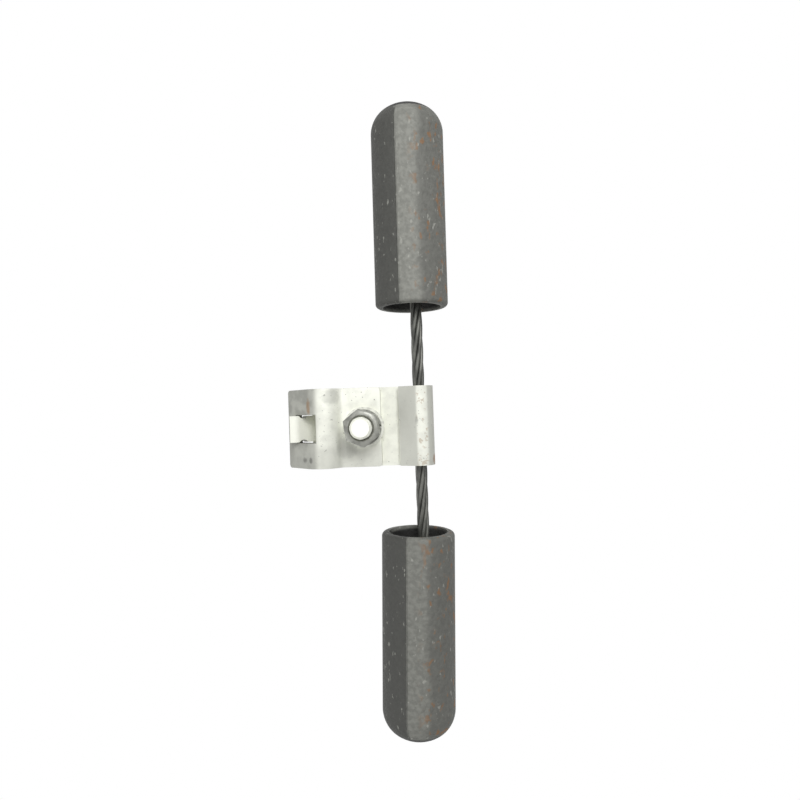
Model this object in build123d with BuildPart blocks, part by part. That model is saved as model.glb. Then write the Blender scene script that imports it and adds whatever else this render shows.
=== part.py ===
from build123d import *
import os
from math import acos, asin, atan, ceil, cos, degrees, radians, sin, sqrt, tan

# Stockbridge vibration damper, hung under an overhead line conductor. Millimetres.
# Frame: +Z up as it hangs, X along the conductor and the strand, nut on the -Y side.
# Origin: centre of the conductor groove, midway along the clamp.

# Clamp plates: two pieces of folded plate that meet on the plane y = 0.
plate = 6.0
clamp_length = 58.5
groove_radius = 9.0
step_bend_radius = 4.5
flange_angle = 45.0
keeper_bottom_z = -43.5
keeper_top_z = 28.0
keeper_corner_radius = 2.5

# Window in the keeper and the tongue of the body that hooks through it.
window_width = 20.6
window_bottom_z = -8.7
window_corner_radius = 1.6
tongue_width = 19.6
neck_width = 15.8
notch_radius = 5.0
hook_bend_radius = 2.0
hook_clearance = 0.2
tongue_top_z = 24.2

# Seven-wire strand and the eye folded round it.
strand_z = -72.0
king_wire_radius = 1.43
outer_wire_radius = 1.45
outer_wire_circle = 3.0
outer_wires = 6
lay_length = 109.0
wire_sides = 8
stations_per_lay = 12
eye_radius = 4.5
return_leaf_length = 12.2
leaf_gap_angle = 0.2
leaf_bend_radius = 8.0

# Bell weights, cast with a hollow that opens toward the clamp.
weight_radius = 27.0
weight_length = 151.5
crown_radius = 32.0
shoulder_arc_radius = 19.5
mouth_outer_round = 3.0
mouth_radius = 21.6
hollow_end_radius = 16.0
hollow_depth = 84.0
mouth_x_a = 87.8
mouth_x_b = -78.6
rise_a = 3.0
rise_b = 3.8
tilt_a = -0.3
tilt_b = 1.7

# Poured zinc that holds each strand end in its weight.
socket_radius = 8.0
socket_length = 30.0
socket_lead = 2.0
strand_bore_radius = 4.5
strand_end_cover = 3.0

# M16 bolt, nut and washers.
bolt_z = -31.0
bolt_radius = 7.9
bolt_hole_radius = 8.75
bolt_chamfer = 1.7
bolt_end_y = -33.0
across_flats = 24.0
head_height = 10.0
nut_height = 14.8
nut_bore_radius = 8.0
hex_turn = 7.8
flat_washer_radius = 15.0
flat_washer_bore = 8.7
flat_washer_height = 3.0
spring_washer_radius = 13.2
spring_washer_bore = 8.4
spring_washer_height = 4.1
spring_washer_gap = 2.0
spring_washer_slant = 20.0

os.makedirs("parts", exist_ok=True)


def save(solid, name):
    solid.label = name
    export_step(solid, "parts/" + name + ".step")


# Mid-plane path of each folded plate, in the (y, z) section.
half_plate = plate / 2
groove_mid = groove_radius + half_plate
step_mid = step_bend_radius + half_plate
step_y = half_plate + step_mid
step_z = -sqrt((groove_mid + step_mid) ** 2 - step_y**2)
step_angle = degrees(acos(step_y / (groove_mid + step_mid)))
half_length = clamp_length / 2


def polar(radius, angle, centre=(0, 0)):
    return (centre[0] + radius * cos(radians(angle)), centre[1] + radius * sin(radians(angle)))


# Keeper: flat leaf, step out round the front of the conductor, then a flange that
# leans back over the conductor and carries the window.
flange_start = polar(groove_mid, 180 - flange_angle)
flange_length = (keeper_top_z - flange_start[1]) * sqrt(2) - half_plate
flange_end = (flange_start[0] + flange_length / sqrt(2), flange_start[1] + flange_length / sqrt(2))
window_top = groove_radius + plate
window_bottom_angle = 180 + degrees(asin(-window_bottom_z / (groove_radius + plate)))
cutter_reach = 2 * groove_radius + plate

with BuildPart() as clamp_keeper:
    with BuildSketch(Plane.YZ):
        with BuildLine():
            Line((-half_plate, keeper_bottom_z), (-half_plate, step_z))
            CenterArc((-step_y, step_z), step_mid, 0, step_angle)
            CenterArc((0, 0), groove_mid, 180 + step_angle, -(step_angle + flange_angle))
            Line(flange_start, flange_end)
        trace(line_width=plate)
    extrude(amount=half_length, both=True)
    with BuildSketch(Plane.YZ):
        with BuildLine():
            Polyline(
                (0, 0),
                polar(cutter_reach, window_bottom_angle),
                (-cutter_reach, 0),
                polar(cutter_reach, 180 - flange_angle),
                polar(window_top, flange_angle, polar(cutter_reach, 180 - flange_angle)),
                polar(window_top, flange_angle),
                close=True,
            )
        make_face()
    extrude(amount=window_width / 2, both=True, mode=Mode.SUBTRACT)
    window_corners = [
        edge
        for edge in clamp_keeper.edges().filter_by(GeomType.LINE)
        if abs(abs(edge.center().X) - window_width / 2) < 0.01 and abs(edge.length - plate) < 0.01
    ]
    fillet(window_corners, window_corner_radius)
    outer_corners = [
        edge
        for edge in clamp_keeper.edges().filter_by(GeomType.LINE)
        if abs(abs(edge.center().X) - half_length) < 0.01 and abs(edge.length - plate) < 0.01
    ]
    fillet(outer_corners, keeper_corner_radius)
    with BuildSketch(Plane.XZ):
        with Locations((0, bolt_z)):
            Circle(bolt_hole_radius)
    extrude(amount=2 * plate, both=True, mode=Mode.SUBTRACT)
save(clamp_keeper.part, "clamp_keeper")

# Body: return leaf, eye round the strand, back leaf, step out round the back of the
# conductor, then the tongue that passes through the window and hooks up in front of it.
eye_mid = eye_radius + half_plate
eye_slope = degrees(atan(eye_radius / return_leaf_length)) - leaf_gap_angle
eye_centre = (0, strand_z)
eye_front = polar(eye_mid, 180 - eye_slope, eye_centre)
eye_back = polar(eye_mid, eye_slope, eye_centre)
return_leaf_end = polar(return_leaf_length, 90 - eye_slope, eye_front)
back_slope_length = (eye_back[0] - half_plate) / sin(radians(eye_slope))
leaf_knee = polar(back_slope_length, 90 + eye_slope, eye_back)
tongue_start = polar(groove_mid, flange_angle)
hook_start = polar(groove_radius + plate + hook_clearance, 90 + flange_angle, tongue_start)
hook_mid = hook_bend_radius + half_plate
hook_centre = polar(hook_mid, flange_angle, hook_start)
hook_end = (hook_centre[0] - hook_mid, hook_centre[1])
tongue_plane = Plane(
    origin=(0, tongue_start[0], tongue_start[1]),
    x_dir=(1, 0, 0),
    z_dir=(0, -cos(radians(flange_angle)), -sin(radians(flange_angle))),
)
side_width = half_length - tongue_width / 2
side_centre = (half_length + tongue_width / 2) / 2
notch_centre = neck_width / 2 + notch_radius
neck_reach = groove_radius + plate - half_plate

with BuildPart() as clamp_body:
    with BuildSketch(Plane.YZ):
        with BuildLine():
            Line(return_leaf_end, eye_front)
            CenterArc(eye_centre, eye_mid, 180 - eye_slope, 180 + 2 * eye_slope)
            FilletPolyline(eye_back, leaf_knee, (half_plate, step_z), radius=leaf_bend_radius)
            CenterArc((step_y, step_z), step_mid, 180, -step_angle)
            CenterArc((0, 0), groove_mid, -step_angle, step_angle + flange_angle)
            Line(tongue_start, hook_start)
            CenterArc(hook_centre, hook_mid, 180 + flange_angle, -flange_angle)
            Line(hook_end, (hook_end[0], tongue_top_z))
        trace(line_width=plate)
    extrude(amount=half_length, both=True)
    with BuildSketch(tongue_plane):
        with Locations((side_centre, cutter_reach), (-side_centre, cutter_reach)):
            Rectangle(side_width, 2 * cutter_reach)
        with Locations((notch_centre, neck_reach), (-notch_centre, neck_reach)):
            Circle(notch_radius)
    extrude(amount=cutter_reach, both=True, mode=Mode.SUBTRACT)
    with BuildSketch(Plane.XZ):
        with Locations((0, bolt_z)):
            Circle(bolt_hole_radius)
    extrude(amount=2 * plate, both=True, mode=Mode.SUBTRACT)
save(clamp_body.part, "clamp_body")

# Strand: a straight king wire and six wires laid round it as right-hand helices.
strand_end_a = mouth_x_a + hollow_depth + socket_length - strand_end_cover
strand_end_b = mouth_x_b - hollow_depth - socket_length + strand_end_cover
strand_length = strand_end_a - strand_end_b
strand_plane = Plane(origin=(strand_end_b, 0, strand_z), x_dir=(0, 1, 0), z_dir=(1, 0, 0))

with BuildPart() as strand_king_wire:
    with BuildSketch(strand_plane):
        Circle(king_wire_radius)
    extrude(amount=strand_length)
save(strand_king_wire.part, "strand_king_wire")

# Each wire is lofted through flat-sided sections set round the helix.
stations = ceil(strand_length / lay_length * stations_per_lay)
for number in range(outer_wires):
    with BuildPart() as strand_wire:
        for station in range(stations + 1):
            travel = station / stations
            turn = 360 * (number / outer_wires + travel * strand_length / lay_length)
            with BuildSketch(strand_plane.offset(travel * strand_length)):
                with Locations(polar(outer_wire_circle, turn)):
                    RegularPolygon(outer_wire_radius, wire_sides)
        loft(ruled=True)
    save(strand_wire.part, "strand_wire_" + str(number + 1))


# Weights: each one is a revolved bell with a blunt domed end, a hollow that the strand
# stands clear of, and a blind socket on the strand's own line at the end of the hollow.
def weight(mouth_x, rise, tilt):
    outward = 1 if mouth_x > 0 else -1
    centre = Vector(mouth_x, 0, strand_z + rise)
    axis = Vector(outward * cos(radians(tilt)), 0, sin(radians(tilt)))
    half_section = Plane(origin=centre, x_dir=axis, z_dir=(0, 1, 0))
    crown_centre = weight_length - crown_radius
    arc_offset = weight_radius - shoulder_arc_radius
    arc_centre = crown_centre + sqrt((crown_radius - shoulder_arc_radius) ** 2 - arc_offset**2)
    blend = degrees(asin(arc_offset / (crown_radius - shoulder_arc_radius)))

    with BuildPart() as bell:
        with BuildSketch(half_section):
            with BuildLine():
                Polyline((weight_length, 0), (0, 0), (0, weight_radius), (arc_centre, weight_radius))
                CenterArc((arc_centre, arc_offset), shoulder_arc_radius, 90, blend - 90)
                CenterArc((crown_centre, 0), crown_radius, blend, -blend)
            make_face()
        revolve(axis=Axis(centre, axis))
        mouth_edge = bell.edges().filter_by(GeomType.CIRCLE).sort_by_distance(centre)[0]
        fillet(mouth_edge, mouth_outer_round)
        with BuildSketch(half_section):
            with BuildLine():
                Polyline(
                    (0, 0),
                    (hollow_depth, 0),
                    (hollow_depth, hollow_end_radius),
                    (0, mouth_radius),
                    close=True,
                )
            make_face()
        revolve(axis=Axis(centre, axis), mode=Mode.SUBTRACT)
        with BuildSketch(Plane(origin=(mouth_x, 0, strand_z), z_dir=(outward, 0, 0))):
            Circle(socket_radius)
        extrude(amount=hollow_depth + socket_length, mode=Mode.SUBTRACT)
    return bell.part


def socket_zinc(mouth_x):
    outward = 1 if mouth_x > 0 else -1
    socket_mouth = Plane(
        origin=(mouth_x + outward * (hollow_depth + socket_lead), 0, strand_z), z_dir=(outward, 0, 0)
    )
    with BuildPart() as plug:
        with BuildSketch(socket_mouth):
            Circle(socket_radius)
        extrude(amount=socket_length - socket_lead)
        with BuildSketch(socket_mouth):
            Circle(strand_bore_radius)
        extrude(amount=socket_length - socket_lead - strand_end_cover, mode=Mode.SUBTRACT)
    return plug.part


save(weight(mouth_x_a, rise_a, tilt_a), "weight_a")
save(weight(mouth_x_b, rise_b, tilt_b), "weight_b")
save(socket_zinc(mouth_x_a), "socket_zinc_a")
save(socket_zinc(mouth_x_b), "socket_zinc_b")


# Fasteners, all on the bolt axis.
def across_bolt(y):
    return Plane(origin=(0, y, bolt_z), x_dir=(1, 0, 0), z_dir=(0, -1, 0))


# A hexagon whose corners are bevelled by a cone at each end.
def hexagon(start_y, height, bore=0):
    corner_radius = across_flats / sqrt(3)
    bevel = (corner_radius - across_flats / 2) * tan(radians(30))
    with BuildPart() as block:
        with BuildSketch(across_bolt(start_y)):
            RegularPolygon(corner_radius, 6, rotation=-hex_turn)
        extrude(amount=height)
        with BuildSketch(Plane(origin=(0, start_y, bolt_z), x_dir=(1, 0, 0), z_dir=(0, 0, 1))):
            with BuildLine():
                Polyline(
                    (0, 0),
                    (across_flats / 2, 0),
                    (corner_radius, -bevel),
                    (corner_radius, bevel - height),
                    (across_flats / 2, -height),
                    (0, -height),
                    close=True,
                )
            make_face()
        revolve(axis=Axis((0, start_y, bolt_z), (0, 1, 0)), mode=Mode.INTERSECT)
        if bore:
            with BuildSketch(across_bolt(start_y)):
                Circle(bore)
            extrude(amount=height, mode=Mode.SUBTRACT)
    return block.part


def ring(start_y, height, radius, bore):
    with BuildPart() as washer:
        with BuildSketch(across_bolt(start_y)):
            Circle(radius)
            Circle(bore, mode=Mode.SUBTRACT)
        extrude(amount=height)
    return washer.part


with BuildPart() as clamp_bolt:
    add(hexagon(plate + head_height, head_height))
    with BuildSketch(across_bolt(plate)):
        Circle(bolt_radius)
    extrude(amount=plate - bolt_end_y)
    chamfer(clamp_bolt.faces().sort_by(Axis.Y)[0].edges(), bolt_chamfer)
save(clamp_bolt.part, "clamp_bolt")

spring_washer_y = -plate - flat_washer_height
nut_y = spring_washer_y - spring_washer_height
save(ring(-plate, flat_washer_height, flat_washer_radius, flat_washer_bore), "flat_washer")
save(hexagon(nut_y, nut_height, nut_bore_radius), "clamp_nut")

with BuildPart() as spring_washer:
    add(ring(spring_washer_y, spring_washer_height, spring_washer_radius, spring_washer_bore))
    slot_plane = Plane(
        origin=(0, spring_washer_y - spring_washer_height / 2, bolt_z - spring_washer_radius),
        x_dir=(1, 0, 0),
        z_dir=(0, 0, 1),
    ).rotated((0, 0, spring_washer_slant))
    with BuildSketch(slot_plane):
        Rectangle(spring_washer_gap, 3 * spring_washer_height)
    extrude(amount=spring_washer_radius - spring_washer_bore / 2, both=True, mode=Mode.SUBTRACT)
save(spring_washer.part, "spring_washer")
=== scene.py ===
from math import cos, pi, radians, sin, tan

import bmesh
import bpy
from mathutils import Matrix, Vector


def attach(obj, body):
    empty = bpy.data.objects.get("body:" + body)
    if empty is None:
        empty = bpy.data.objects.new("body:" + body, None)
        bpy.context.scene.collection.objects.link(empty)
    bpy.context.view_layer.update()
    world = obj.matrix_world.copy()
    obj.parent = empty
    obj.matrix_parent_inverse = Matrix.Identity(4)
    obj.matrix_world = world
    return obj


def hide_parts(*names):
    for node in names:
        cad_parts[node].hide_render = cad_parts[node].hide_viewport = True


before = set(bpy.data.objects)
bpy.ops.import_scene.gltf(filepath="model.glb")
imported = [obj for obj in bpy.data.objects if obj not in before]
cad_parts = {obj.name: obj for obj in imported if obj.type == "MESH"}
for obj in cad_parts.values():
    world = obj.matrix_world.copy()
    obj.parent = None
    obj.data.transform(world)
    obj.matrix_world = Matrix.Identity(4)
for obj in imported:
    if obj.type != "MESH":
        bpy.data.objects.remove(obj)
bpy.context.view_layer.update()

# Stockbridge vibration damper. Lengths below are in millimetres, turned to metres by MM.
MM = 0.001

# Clamp keeper: a folded plate, given by its mid-line in (y, z).
PLATE = 6.0
KEEPER_HALF_WIDTH = 29.25
KEEPER_BOTTOM_Z = -43.5
STEP_BEND_Z = -16.43
STEP_BEND_RADIUS = 7.5
STEP_BEND_ANGLE = radians(57.4)
GROOVE_MID_RADIUS = 12.0
FLANGE_ANGLE = radians(45)
FLANGE_LENGTH = 24.6
KEEPER_CORNER_RADIUS = 2.5
PLATE_EDGE_ROUND = 0.5
ARC_STEPS = 28

# Window in the keeper that the tongue hooks through.
WINDOW_HALF_WIDTH = 10.3
WINDOW_BOTTOM_ANGLE = radians(166.5)
WINDOW_TOP = 15.0
CUTTER_REACH = 24.0

# Strand.
STRAND_Z = -72.0
OUTER_WIRES = 6
WIRE_RADIUS = 1.45
WIRE_CIRCLE = 3.0
LAY_LENGTH = 109.0
STRAND_START = -189.6
STRAND_END = 198.8
WIRE_STATIONS = 150
WIRE_SIDES = 14

# Bolt and nut, on the line x = 0, z = BOLT_Z.
BOLT_Z = -31.0
BOLT_RADIUS = 7.9
BOLT_END_Y = -33.0
BOLT_CHAMFER = 1.7
BOLT_HOLE_RADIUS = 8.75
THREAD_START_Y = -12.0
THREAD_PITCH = 2.0
THREAD_DEPTH = 1.0
THREAD_STEP = 0.25
HEAD_NEAR_Y = 6.0
HEAD_FAR_Y = 16.0
ACROSS_FLATS = 24.0
HEX_TURN = radians(7.8)
HEX_FACE_RADIUS = 11.4
HEX_CHAMFER_ANGLE = radians(30)
NUT_FRONT_Y = -27.9
NUT_BACK_Y = -13.1
NUT_BORE_RADIUS = 8.0
COUNTERSINK_RADIUS = 9.3
TURNED_SEGMENTS = 96

# Weights: mouth x, rise and tilt of each axis, with the tone of its casting.
WEIGHTS = {"weight_a": (87.8, 3.0, -0.3, 1.25), "weight_b": (-78.6, 3.8, 1.7, 1.05)}
SEAM_ANGLE = radians(17.5)

SMOOTH_ANGLE = radians(32)
CORNER_STEPS = 6
EDGE_ROUND_STEPS = 2
EDGE_ROUND_ANGLE = radians(50)

# Where tones begin and end, in millimetres along an axis, each as (0 at, 1 at).
# Patina and painted shade on the keeper's slanted flange.
FLANGE_TONE_Z = (1.0, 6.0)
SHADED_SIDE_X = (-9.0, -18.0)
# Painted shade, near black, on the side walls of the keeper's window.
WINDOW_WALL_SHADE_X = ((10.0, 10.25), (10.5, 10.35))
WINDOW_WALL_SHADE_Z = ((2.5, 4.5), (21.2, 20.5))
# Painted light on the tongue, which is painted brighter than the rest of the zinc.
TONGUE_LIGHT_Z = (-1.0, 1.0)
# Painted shade on the leaf's slope, which faces away from the light.
LEAF_SLOPE_SHADE_Z = ((-56.5, -57.5), (-71.0, -69.0))
EYE_CROWN_Z = ((-69.0, -71.0), (-79.0, -77.0))
# Painted shade on the far side of the eye.
EYE_FAR_SIDE_SHADE_Z = (-77.0, -79.0)
# Painted shade, near black, in the hollow of each weight.
HOLLOW_RADIUS = (22.5, 21.3)
HOLLOW_START = (0.4, 3.0)

# Where tones of the castings begin and end, in radians round the axis from the front.
# Painted shade on the casting past its seam.
SEAM_SIDE_SHADE = ((SEAM_ANGLE - 0.02, SEAM_ANGLE + 0.05), (2.2, 1.5))
# Painted shade on the casting's lower flank.
SHADED_FLANK = (0.0, -0.25)
RUSTED_SIDE = (0.1, -0.4)
SEAM_RIDGE = (0.035, 0.0)

# Marks on the clamp, as (centre, size) in millimetres.
KNOCKS = (((-23, -2, 13), (3, 12, 2.4)), ((-23, -7, 8), (3, 12, 1.8)))
# A dark cloud, and painted shade below the nut (the second spot).
CLOUDING_AND_NUT_SHADE = (((23, -12, -8), (7, 9, 9)), ((-15, -6, -15), (9, 6, 12)))
RUST_STREAK = (((16, -7, 9), (8, 12, 2)),)
SMUDGE = (((4, -6, -70), (5, 6, 2)),)
RUST_PATCH = (((-25, -2, -84), (5, 9, 4)),)

STREAK_BROWN = (0.32, 0.20, 0.11, 1)
FLECK_BROWN = (0.40, 0.29, 0.18, 1)
PATCH_RUST = (0.28, 0.13, 0.05, 1)
SPECK_RUST = (0.26, 0.13, 0.05, 1)
FLOOR_WHITE = (0.95, 0.95, 0.95, 1)

# Stage, in metres.
FLOOR_HALF = 0.33
FLOOR_Z = -0.6
WORLD_DIFFUSE = 0.3
AIM = (0, 0, -0.05)
LENS = 27.22
SENSOR_WIDTH = 36.0
EYE_PLACE = (0.01293, -0.45092, -0.07875)
EYE_RIGHT = (-0.03387, 0.04670, -0.99834)
EYE_UP = (0.99933, -0.01224, -0.03447)
EYE_BACK = (-0.01383, -0.99883, -0.04626)


# Shader graphs --------------------------------------------------------------------------
class Graph:
    """A material's node tree, written as sums and mixes of the point on the surface."""

    def __init__(self, name):
        self.material = bpy.data.materials.new(name)
        self.material.use_nodes = True
        self.nodes = self.material.node_tree.nodes
        self.links = self.material.node_tree.links
        self.shader = self.nodes["Principled BSDF"]
        self.point = self.nodes.new("ShaderNodeTexCoord").outputs["Object"]
        self.x, self.y, self.z = self.split(self.point)

    def feed(self, socket, value):
        if isinstance(value, bpy.types.NodeSocket):
            self.links.new(value, socket)
        else:
            socket.default_value = value

    def split(self, vector):
        node = self.nodes.new("ShaderNodeSeparateXYZ")
        self.feed(node.inputs[0], vector)
        return node.outputs

    def math(self, operation, *values):
        node = self.nodes.new("ShaderNodeMath")
        node.operation = operation
        for socket, value in zip(node.inputs, values):
            self.feed(socket, value)
        return node.outputs[0]

    def step(self, value, start, end):
        """0 before start and 1 after end, smoothly; start may be above end."""
        node = self.nodes.new("ShaderNodeMapRange")
        node.interpolation_type = "SMOOTHSTEP"
        self.feed(node.inputs["Value"], value)
        low, high = min(start, end), max(start, end)
        node.inputs["From Min"].default_value = low
        node.inputs["From Max"].default_value = high
        node.inputs["To Min"].default_value = 0.0 if start < end else 1.0
        node.inputs["To Max"].default_value = 1.0 if start < end else 0.0
        return node.outputs["Result"]

    def edge(self, axis, start, end):
        """A step along an axis or a radius, with its ends in millimetres."""
        return self.step(axis, start * MM, end * MM)

    def band(self, axis, rise, fall):
        """1 between two edges in millimetres, each given as (0 at, 1 at)."""
        return self.times(self.edge(axis, *rise), self.edge(axis, *fall))

    def times(self, first, second):
        return self.math("MULTIPLY", first, second)

    def noise(self, scale, detail=4.0, stretch=None):
        vector = self.point
        if stretch:
            mapping = self.nodes.new("ShaderNodeMapping")
            mapping.inputs["Scale"].default_value = stretch
            self.feed(mapping.inputs["Vector"], vector)
            vector = mapping.outputs[0]
        node = self.nodes.new("ShaderNodeTexNoise")
        node.inputs["Scale"].default_value = scale
        node.inputs["Detail"].default_value = detail
        self.feed(node.inputs["Vector"], vector)
        return node.outputs[0]

    def mix(self, factor, first, second):
        node = self.nodes.new("ShaderNodeMix")
        node.data_type = "RGBA"
        colours = [s for s in node.inputs if s.type == "RGBA"]
        self.feed(node.inputs[0], factor)
        self.feed(colours[0], first)
        self.feed(colours[1], second)
        return next(s for s in node.outputs if s.type == "RGBA")

    def lay(self, colour, mask, strength, tint):
        """Lays a tint over the colour where the mask is."""
        return self.mix(self.times(mask, strength), colour, tint)

    def spot(self, centre, size):
        """A ragged patch: 1 at the centre, 0 outside; centre and size in millimetres."""
        parts = []
        for axis, middle, reach in zip((self.x, self.y, self.z), centre, size):
            offset = self.math("SUBTRACT", axis, middle * MM)
            scaled = self.math("DIVIDE", offset, reach * MM)
            parts.append(self.math("MULTIPLY", scaled, scaled))
        spread = self.math("ADD", self.math("ADD", parts[0], parts[1]), parts[2])
        ragged = self.math("ADD", spread, self.noise(420))
        return self.step(ragged, 1.6, 0.7)

    def bump(self, height, distance, strength):
        node = self.nodes.new("ShaderNodeBump")
        node.inputs["Distance"].default_value = distance
        node.inputs["Strength"].default_value = strength
        self.feed(node.inputs["Height"], height)
        self.links.new(node.outputs[0], self.shader.inputs["Normal"])

    def finish(self, colour, roughness, metallic):
        self.feed(self.shader.inputs["Base Color"], colour)
        self.feed(self.shader.inputs["Roughness"], roughness)
        self.feed(self.shader.inputs["Metallic"], metallic)
        return self.material


def grey(value):
    """A slightly warm grey, as galvanised and cast surfaces have."""
    return (value, value * 1.01, value * 0.91, 1.0)


def zinc_coat(graph):
    """Hot-dip zinc: a pale coat with a mottle, soft clouds and dark pits."""
    mottle = graph.step(graph.noise(160, 6), 0.42, 0.68)
    colour = graph.mix(mottle, grey(0.93), grey(0.84))
    clouds = graph.step(graph.noise(45, 3), 0.50, 0.72)
    colour = graph.lay(colour, clouds, 0.4, grey(0.68))
    pits = graph.step(graph.noise(430, 4), 0.66, 0.71)
    return graph.lay(colour, pits, 0.7, grey(0.2))


def stained(graph, colour, marks, tint, strength):
    for centre, size in marks:
        colour = graph.lay(colour, graph.spot(centre, size), strength, tint)
    return colour


def finish_plate(graph, colour):
    graph.bump(graph.noise(300, 6), 0.0005, 0.35)
    return graph.finish(colour, 0.55, 0.1)


def keeper_finish():
    """Zinc coat, darkened on the slanted flange by patina and painted shade, with painted shade
    below the nut and on the window walls.
    """
    graph = Graph("keeper_finish")
    colour = zinc_coat(graph)
    # Patina with painted shade: the slanted flange is painted darker than the flat.
    patina_and_shade = graph.mix(graph.step(graph.noise(110, 7), 0.4, 0.62), grey(0.26), grey(0.40))
    colour = graph.lay(colour, graph.edge(graph.z, *FLANGE_TONE_Z), 0.85, patina_and_shade)
    colour = graph.lay(colour, graph.edge(graph.x, *SHADED_SIDE_X), 0.4, grey(0.55))
    colour = stained(graph, colour, KNOCKS, grey(0.10), 0.7)
    # A dark cloud, and painted shade below the nut.
    colour = stained(graph, colour, CLOUDING_AND_NUT_SHADE, grey(0.45), 0.45)
    # Painted shade: the window's side walls are painted near black.
    at_wall = graph.band(graph.math("ABSOLUTE", graph.x), *WINDOW_WALL_SHADE_X)
    window_wall_shade = graph.times(at_wall, graph.band(graph.z, *WINDOW_WALL_SHADE_Z))
    colour = graph.mix(window_wall_shade, colour, grey(0.03))
    colour = stained(graph, colour, RUST_STREAK, STREAK_BROWN, 0.75)
    return finish_plate(graph, colour)


def body_finish():
    """Zinc coat, with painted light on the tongue, painted shade on the leaf's slope and the
    eye's far side, flecked on the eye's crown.
    """
    graph = Graph("body_finish")
    colour = zinc_coat(graph)
    # Painted shade on the leaf's slope.
    colour = graph.lay(colour, graph.band(graph.z, *LEAF_SLOPE_SHADE_Z), 0.75, grey(0.5))
    # Painted shade on the far side of the eye.
    colour = graph.lay(colour, graph.edge(graph.z, *EYE_FAR_SIDE_SHADE_Z), 0.7, grey(0.47))
    # Painted light: the tongue is painted near white.
    colour = graph.mix(graph.edge(graph.z, *TONGUE_LIGHT_Z), colour, grey(0.98))
    crown = graph.band(graph.z, *EYE_CROWN_Z)
    flecks = graph.times(graph.step(graph.noise(330, 6), 0.56, 0.63), crown)
    colour = graph.lay(colour, flecks, 0.5, FLECK_BROWN)
    colour = stained(graph, colour, SMUDGE, grey(0.14), 0.6)
    colour = stained(graph, colour, RUST_PATCH, PATCH_RUST, 0.8)
    return finish_plate(graph, colour)


def cast_iron(mouth_x, rise, tilt, tone):
    """Rough casting with a mould seam, painted shade past it and on the lower flank, rusted on
    one side, painted black shade in its hollow.
    """
    graph = Graph("cast_iron")
    outward = 1 if mouth_x > 0 else -1
    along = graph.math("SUBTRACT", graph.x, mouth_x * MM)
    drift = graph.times(along, outward * tan(radians(tilt)))
    axis_z = graph.math("ADD", drift, (STRAND_Z + rise) * MM)
    height = graph.math("SUBTRACT", graph.z, axis_z)
    front = graph.times(graph.y, -1.0)
    angle = graph.math("ARCTAN2", height, front)
    squares = graph.math("ADD", graph.times(height, height), graph.times(front, front))
    radius = graph.math("SQRT", squares)

    sand = graph.step(graph.noise(300, 12), 0.36, 0.66)
    colour = graph.mix(sand, grey(0.17 * tone), grey(0.225 * tone))
    # Painted shade on the lower flank, with a wavering edge.
    wavering = graph.math("ADD", angle, graph.times(graph.noise(30, 3), 0.3))
    colour = graph.lay(colour, graph.step(wavering, *SHADED_FLANK), 0.6, grey(0.09))
    # Painted shade past the seam: the casting is the same iron all round.
    start, end = SEAM_SIDE_SHADE
    shade_past_seam = graph.times(graph.step(angle, *start), graph.step(angle, *end))
    colour = graph.lay(colour, shade_past_seam, 0.85, grey(0.033))

    scuffs = graph.step(graph.noise(330, 6, (0.5, 1, 1)), 0.63, 0.68)
    colour = graph.lay(colour, scuffs, 0.45, grey(0.5))
    rust = graph.step(graph.noise(210, 9, (0.6, 1, 1)), 0.57, 0.66)
    specks = graph.times(rust, graph.step(angle, *RUSTED_SIDE))
    colour = graph.lay(colour, specks, 0.7, SPECK_RUST)

    # Painted shade: the hollow of the weight is painted near black.
    past_mouth = graph.edge(graph.times(along, outward), *HOLLOW_START)
    hollow_shade = graph.times(graph.edge(radius, *HOLLOW_RADIUS), past_mouth)
    colour = graph.mix(hollow_shade, colour, grey(0.012))

    from_seam = graph.math("ABSOLUTE", graph.math("SUBTRACT", angle, SEAM_ANGLE))
    ridge = graph.times(graph.step(from_seam, *SEAM_RIDGE), 0.6)
    relief = graph.math("ADD", graph.times(graph.noise(380, 8), 0.5), graph.noise(60, 3))
    graph.bump(graph.math("ADD", relief, ridge), 0.0018, 0.9)
    return graph.finish(colour, 0.68, 0.0)


def bright_steel(name, light, dark, roughness):
    graph = Graph(name)
    wear = graph.step(graph.noise(300, 6), 0.4, 0.66)
    colour = graph.mix(wear, grey(light), grey(dark))
    graph.bump(graph.noise(700, 4), 0.0002, 0.25)
    return graph.finish(colour, roughness, 0.45)


def wire_steel():
    graph = Graph("wire_steel")
    dulled = graph.step(graph.noise(240, 6, (0.3, 1, 1)), 0.38, 0.66)
    colour = graph.mix(dulled, grey(0.15), grey(0.06))
    return graph.finish(colour, 0.45, 0.5)


# Meshes ---------------------------------------------------------------------------------
def skin(name, rings, closed=False):
    """Joins rings of points with faces. Open runs are capped; closed ones meet end to end."""
    mesh = bpy.data.meshes.new(name)
    count = len(rings[0])
    points = [Vector(point) * MM for ring in rings for point in ring]
    faces = []
    for row in range(len(rings) if closed else len(rings) - 1):
        near, far = row * count, (row + 1) % len(rings) * count
        for side in range(count):
            after = (side + 1) % count
            faces.append((near + side, near + after, far + after, far + side))
    if not closed:
        faces.append(tuple(reversed(range(count))))
        faces.append(tuple(range(len(points) - count, len(points))))
    mesh.from_pydata(points, [], faces)
    outward_faces(mesh)
    return mesh


def outward_faces(mesh):
    work = bmesh.new()
    work.from_mesh(mesh)
    bmesh.ops.recalc_face_normals(work, faces=work.faces)
    work.to_mesh(mesh)
    work.free()


def add_piece(name, mesh, material, slot, *nodes):
    mesh.shade_smooth()
    mesh.set_sharp_from_angle(angle=SMOOTH_ANGLE)
    mesh.materials.clear()
    mesh.materials.append(material)
    piece = bpy.data.objects.new(name, mesh)
    bpy.context.scene.collection.objects.link(piece)
    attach(piece, "root")
    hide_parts(*nodes)
    return piece


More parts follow.
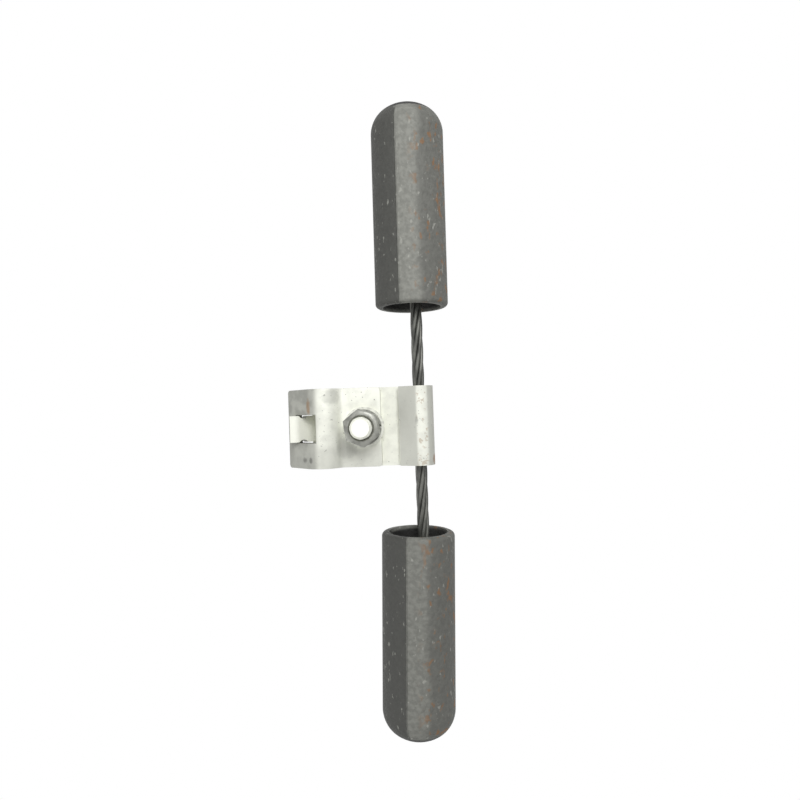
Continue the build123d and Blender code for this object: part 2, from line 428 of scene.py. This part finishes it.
def wire(number, material):
    slope = 2 * pi * WIRE_CIRCLE / LAY_LENGTH
    rings = []
    for station in range(WIRE_STATIONS + 1):
        x = STRAND_START + (STRAND_END - STRAND_START) * station / WIRE_STATIONS
        turn = 2 * pi * (number / OUTER_WIRES + (x - STRAND_START) / LAY_LENGTH)
        centre = Vector((x, WIRE_CIRCLE * cos(turn), STRAND_Z + WIRE_CIRCLE * sin(turn)))
        radial = Vector((0, cos(turn), sin(turn)))
        tangent = Vector((1, -slope * sin(turn), slope * cos(turn))).normalized()
        if 0 < station < WIRE_STATIONS:
            across = tangent.cross(radial)
        else:
            across = Vector((0, -sin(turn), cos(turn)))
        steps = [2 * pi * side / WIRE_SIDES for side in range(WIRE_SIDES)]
        rings.append([centre + WIRE_RADIUS * (radial * cos(a) + across * sin(a)) for a in steps])
    name = "strand_wire_" + str(number + 1)
    add_piece(name + "_smooth", skin(name, rings), material, "strand_steel", name)


def turned_ring(radius, y):
    """A ring round the bolt's axis. radius and y are numbers or functions of the angle."""
    ring = []
    for segment in range(TURNED_SEGMENTS):
        angle = HEX_TURN + 2 * pi * segment / TURNED_SEGMENTS
        reach = radius(angle) if callable(radius) else radius
        depth = y(angle) if callable(y) else y
        ring.append((reach * cos(angle), depth, BOLT_Z + reach * sin(angle)))
    return ring


def hex_radius(angle):
    from_flat = (angle - HEX_TURN + 1e-9) % (pi / 3) - pi / 6
    return ACROSS_FLATS / 2 / cos(from_flat)


def hex_edge(face_y, inward):
    """Where a flat of the hexagon starts: the face's height less what the chamfer takes."""
    rise = tan(HEX_CHAMFER_ANGLE)
    return lambda angle: face_y + inward * (hex_radius(angle) - HEX_FACE_RADIUS) * rise


def nut(material):
    sink = COUNTERSINK_RADIUS - NUT_BORE_RADIUS
    rings = [
        turned_ring(NUT_BORE_RADIUS, NUT_BACK_Y),
        turned_ring(NUT_BORE_RADIUS, NUT_FRONT_Y + sink),
        turned_ring(COUNTERSINK_RADIUS, NUT_FRONT_Y),
        turned_ring(HEX_FACE_RADIUS, NUT_FRONT_Y),
        turned_ring(hex_radius, hex_edge(NUT_FRONT_Y, 1)),
        turned_ring(hex_radius, hex_edge(NUT_BACK_Y, -1)),
        turned_ring(HEX_FACE_RADIUS, NUT_BACK_Y),
    ]
    add_piece("nut_bevelled", skin("nut", rings, closed=True), material, "nut_steel", "clamp_nut")


def bolt(material):
    end_radius = BOLT_RADIUS - BOLT_CHAMFER

    def thread(y):
        def radius(angle):
            phase = (y / THREAD_PITCH + angle / (2 * pi)) % 1
            groove = BOLT_RADIUS - THREAD_DEPTH * (1 - abs(2 * phase - 1))
            return min(groove, end_radius + y - BOLT_END_Y)

        return radius

    rings = [turned_ring(end_radius, BOLT_END_Y)]
    for step in range(1, int((THREAD_START_Y - BOLT_END_Y) / THREAD_STEP)):
        y = BOLT_END_Y + step * THREAD_STEP
        rings.append(turned_ring(thread(y), y))
    rings += [
        turned_ring(BOLT_RADIUS, THREAD_START_Y),
        turned_ring(BOLT_RADIUS, HEAD_NEAR_Y),
        turned_ring(HEX_FACE_RADIUS, HEAD_NEAR_Y),
        turned_ring(hex_radius, HEAD_NEAR_Y),
        turned_ring(hex_radius, hex_edge(HEAD_FAR_Y, -1)),
        turned_ring(HEX_FACE_RADIUS, HEAD_FAR_Y),
    ]
    add_piece("bolt_threaded", skin("bolt", rings), material, "bolt_steel", "clamp_bolt")


def keeper_line():
    """The keeper's mid-line as (point, outward normal) pairs in (y, z), from the bottom up."""
    half = PLATE / 2
    line = [(Vector((-half, KEEPER_BOTTOM_Z)), Vector((-1, 0)))]
    for step in range(ARC_STEPS + 1):
        angle = STEP_BEND_ANGLE * step / ARC_STEPS
        turn = Vector((cos(angle), sin(angle)))
        centre = Vector((-half - STEP_BEND_RADIUS, STEP_BEND_Z))
        line.append((centre + STEP_BEND_RADIUS * turn, -turn))
    start, end = pi + STEP_BEND_ANGLE, pi - FLANGE_ANGLE
    for step in range(1, ARC_STEPS + 1):
        angle = start + (end - start) * step / ARC_STEPS
        turn = Vector((cos(angle), sin(angle)))
        line.append((GROOVE_MID_RADIUS * turn, turn))
    along = Vector((cos(FLANGE_ANGLE), sin(FLANGE_ANGLE)))
    line.append((line[-1][0] + FLANGE_LENGTH * along, line[-1][1]))
    return line


def keeper_plate():
    half = PLATE / 2
    rings = []
    for point, normal in keeper_line():
        outer, inner = point + half * normal, point - half * normal
        corners = ((-1, outer), (1, outer), (1, inner), (-1, inner))
        rings.append([(side * KEEPER_HALF_WIDTH, p.x, p.y) for side, p in corners])
    mesh = skin("keeper", rings)
    work = bmesh.new()
    work.from_mesh(mesh)
    work.edges.ensure_lookup_table()
    last = 4 * (len(rings) - 1)
    ends = [{0, 3}, {1, 2}, {last, last + 3}, {last + 1, last + 2}]
    corners = [e for e in work.edges if {v.index for v in e.verts} in ends]
    radius = KEEPER_CORNER_RADIUS * MM
    rounding = {"segments": CORNER_STEPS, "profile": 0.5, "affect": "EDGES"}
    bmesh.ops.bevel(work, geom=corners, offset=radius, **rounding)
    work.to_mesh(mesh)
    work.free()
    return mesh


def window_cutter():
    def polar(reach, angle):
        return Vector((reach * cos(angle), reach * sin(angle)))

    along = polar(WINDOW_TOP, FLANGE_ANGLE)
    flange_foot = polar(CUTTER_REACH, pi - FLANGE_ANGLE)
    bottom = polar(CUTTER_REACH, WINDOW_BOTTOM_ANGLE)
    outline = [Vector((0, 0)), bottom, flange_foot, flange_foot + along, along]
    rings = [[(side * WINDOW_HALF_WIDTH, p.x, p.y) for p in outline] for side in (-1, 1)]
    return skin("window_cutter", rings)


def hole_cutter():
    rings = [turned_ring(BOLT_HOLE_RADIUS, y) for y in (-PLATE * 1.5, PLATE * 0.5)]
    return skin("hole_cutter", rings)


def keeper(material):
    blank = bpy.data.objects.new("keeper_blank", keeper_plate())
    bpy.context.scene.collection.objects.link(blank)
    cutters = []
    for mesh in (window_cutter(), hole_cutter()):
        cutter = bpy.data.objects.new(mesh.name, mesh)
        bpy.context.scene.collection.objects.link(cutter)
        cut = blank.modifiers.new(mesh.name, "BOOLEAN")
        cut.object = cutter
        cut.operation = "DIFFERENCE"
        cutters.append(cutter)
    rounding = blank.modifiers.new("edge_round", "BEVEL")
    rounding.width = PLATE_EDGE_ROUND * MM
    rounding.segments = EDGE_ROUND_STEPS
    rounding.angle_limit = EDGE_ROUND_ANGLE
    shape = blank.evaluated_get(bpy.context.evaluated_depsgraph_get())
    mesh = bpy.data.meshes.new_from_object(shape)
    for used in [blank, *cutters]:
        bpy.data.objects.remove(used)
    add_piece("keeper_windowed", mesh, material, "clamp_plate", "clamp_keeper")


# Scene ----------------------------------------------------------------------------------
def dress(node, material):
    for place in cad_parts[node].material_slots:
        place.material = material


def area_light(name, location, size, power):
    data = bpy.data.lights.new(name, "AREA")
    data.shape = "DISK"
    data.size = size
    data.energy = power
    lamp = bpy.data.objects.new(name, data)
    lamp.location = location
    beam = Vector(AIM) - Vector(location)
    lamp.rotation_euler = beam.to_track_quat("-Z", "Y").to_euler()
    bpy.context.scene.collection.objects.link(lamp)


def white_world():
    """White to the camera and in reflections, dimmer as the light on matt surfaces."""
    world = bpy.data.worlds.new("studio")
    world.use_nodes = True
    nodes, links = world.node_tree.nodes, world.node_tree.links
    ground = nodes["Background"]
    ground.inputs["Color"].default_value = (1, 1, 1, 1)
    path = nodes.new("ShaderNodeLightPath")
    level = path.outputs["Is Camera Ray"]
    for ray in ("Is Glossy Ray", "Is Transmission Ray"):
        either = nodes.new("ShaderNodeMath")
        either.operation = "MAXIMUM"
        links.new(level, either.inputs[0])
        links.new(path.outputs[ray], either.inputs[1])
        level = either.outputs[0]
    strength = nodes.new("ShaderNodeMapRange")
    strength.inputs["To Min"].default_value = WORLD_DIFFUSE
    strength.inputs["To Max"].default_value = 1.0
    links.new(level, strength.inputs["Value"])
    links.new(strength.outputs["Result"], ground.inputs["Strength"])
    bpy.context.scene.world = world


def floor():
    graph = Graph("floor_paint")
    mesh = bpy.data.meshes.new("floor")
    signs = ((-1, -1), (1, -1), (1, 1), (-1, 1))
    corners = [(a * FLOOR_HALF, b * FLOOR_HALF, FLOOR_Z) for a, b in signs]
    mesh.from_pydata(corners, [], [(0, 1, 2, 3)])
    mesh.materials.append(graph.finish(FLOOR_WHITE, 0.8, 0.0))
    plane = bpy.data.objects.new("floor", mesh)
    bpy.context.scene.collection.objects.link(plane)


def camera():
    data = bpy.data.cameras.new("camera")
    data.lens = LENS
    data.sensor_width = SENSOR_WIDTH
    eye = bpy.data.objects.new("camera", data)
    turn = Matrix((EYE_RIGHT, EYE_UP, EYE_BACK)).transposed().to_4x4()
    eye.matrix_world = Matrix.Translation(EYE_PLACE) @ turn
    bpy.context.scene.collection.objects.link(eye)
    bpy.context.scene.camera = eye


zinc = bright_steel("zinc_coat", 0.78, 0.6, 0.5)
bolt_finish = bright_steel("bolt_finish", 0.96, 0.88, 0.5)
nut_finish = bright_steel("nut_finish", 0.30, 0.20, 0.38)
strand = wire_steel()

dress("clamp_body", body_finish())
for node in ("flat_washer", "socket_zinc_a", "socket_zinc_b"):
    dress(node, zinc)
dress("spring_washer", nut_finish)
dress("strand_king_wire", strand)
for weight, place in WEIGHTS.items():
    dress(weight, cast_iron(*place))

for number in range(OUTER_WIRES):
    wire(number, strand)
nut(nut_finish)
bolt(bolt_finish)
keeper(keeper_finish())

bpy.context.scene.view_settings.view_transform = "Standard"
white_world()
area_light("key", location=(0.5, -0.95, -0.25), size=0.55, power=7.4)
area_light("fill", location=(-0.3, -0.5, 0.6), size=0.6, power=1.4)
floor()
camera()
